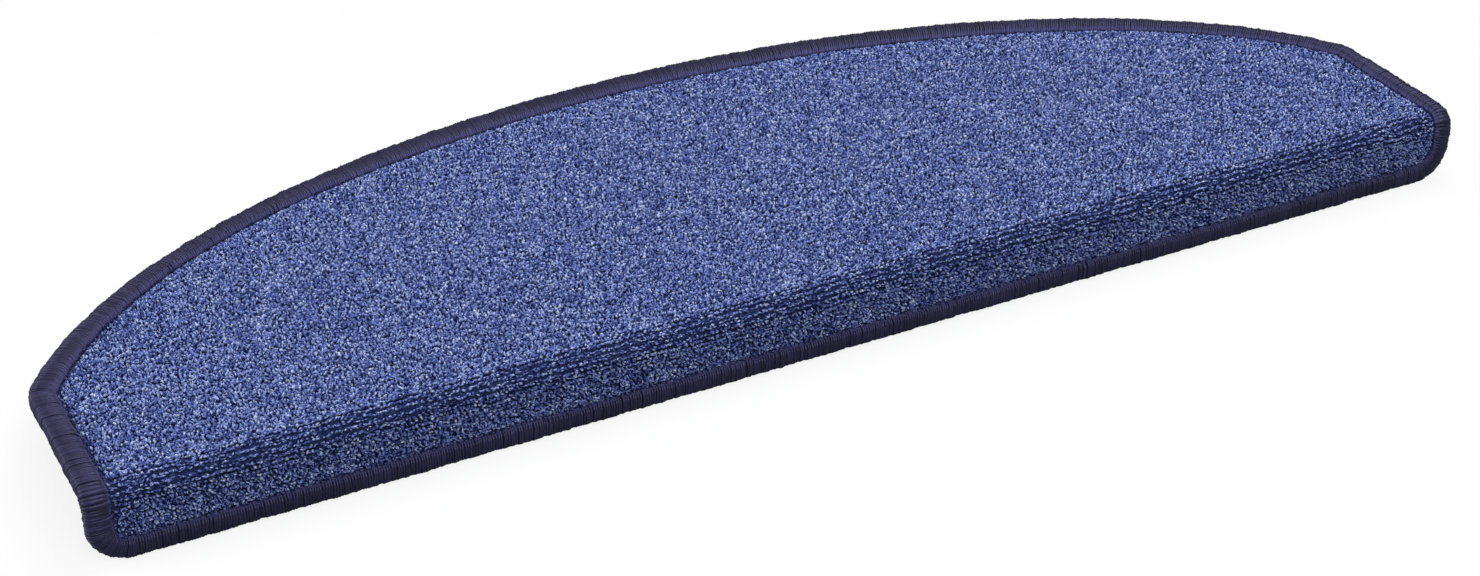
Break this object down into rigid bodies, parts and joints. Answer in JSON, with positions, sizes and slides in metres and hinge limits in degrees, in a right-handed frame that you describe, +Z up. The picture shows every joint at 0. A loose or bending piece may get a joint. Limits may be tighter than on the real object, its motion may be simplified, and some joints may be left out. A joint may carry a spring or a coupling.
{
  "type": "anti slip stair tread mat",
  "caption": "Half-round carpet mat that lies on a stair tread and turns down over its nosing, with an overlocked yarn edge all round.",
  "frame": {"origin": "middle of the carpet's flat underside, at mid width and mid depth, where it lies on the tread", "axes": "+X along the stair's nosing, +Y to the back of the tread, +Z up; the lip hangs down at -Y"},
  "size_m": [0.65, 0.215, 0.035],
  "materials": {
    "loop_pile_carpet": "mid blue heathered loop pile",
    "serging_yarn": "dark navy overlock yarn"
  },
  "bodies": {
    "root": {"carpet_tread": "loop_pile_carpet", "serged_edge": "serging_yarn"}
  },
  "joints": []
}
